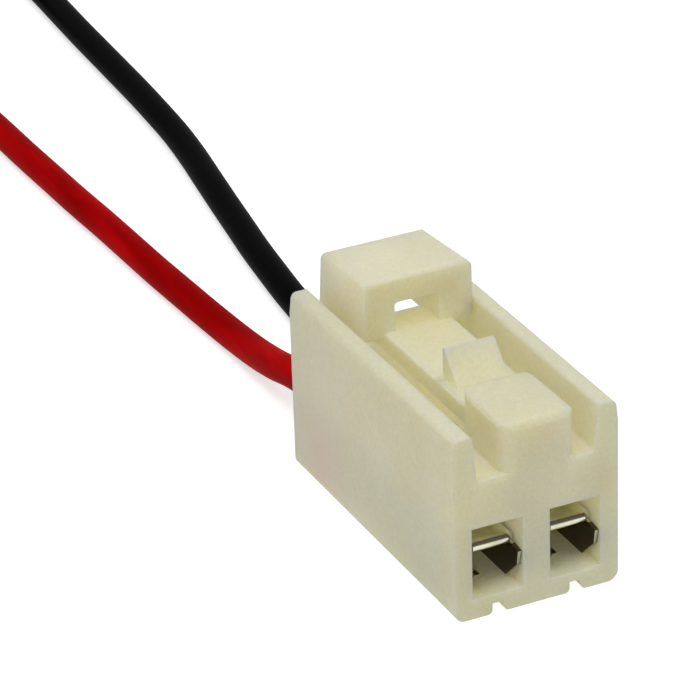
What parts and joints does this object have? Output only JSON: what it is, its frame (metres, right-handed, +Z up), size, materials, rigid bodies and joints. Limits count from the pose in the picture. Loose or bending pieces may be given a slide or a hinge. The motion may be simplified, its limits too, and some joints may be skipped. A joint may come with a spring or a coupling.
{
  "type": "wire to board connector housing",
  "caption": "Moulded wire to board connector housing with a locking lever, crimp contacts and pre-crimped leads, for a straight board header.",
  "frame": {"origin": "centre of the housing's underside, which stands on the surface", "axes": "X across the two contacts, Y from the mating face towards the wires, Z up through the lever"},
  "size_m": [0.0135, 0.124, 0.0115],
  "materials": {
    "nylon": "translucent natural nylon 66, satin",
    "tinned_sheet": "tin-plated bronze sheet, satin",
    "tinned_wire": "tinned copper strands",
    "red_insulation": "red PVC insulation, semi-gloss",
    "black_insulation": "black PVC insulation, satin"
  },
  "bodies": {
    "root": {"housing": "nylon", "contact_left": "tinned_sheet", "contact_right": "tinned_sheet", "strands_left": "tinned_wire", "strands_right": "tinned_wire", "wire_red": "red_insulation", "wire_black": "black_insulation", "hank_red": "red_insulation", "hank_black": "black_insulation", "tip_red": "tinned_wire", "tip_black": "tinned_wire"}
  },
  "joints": []
}
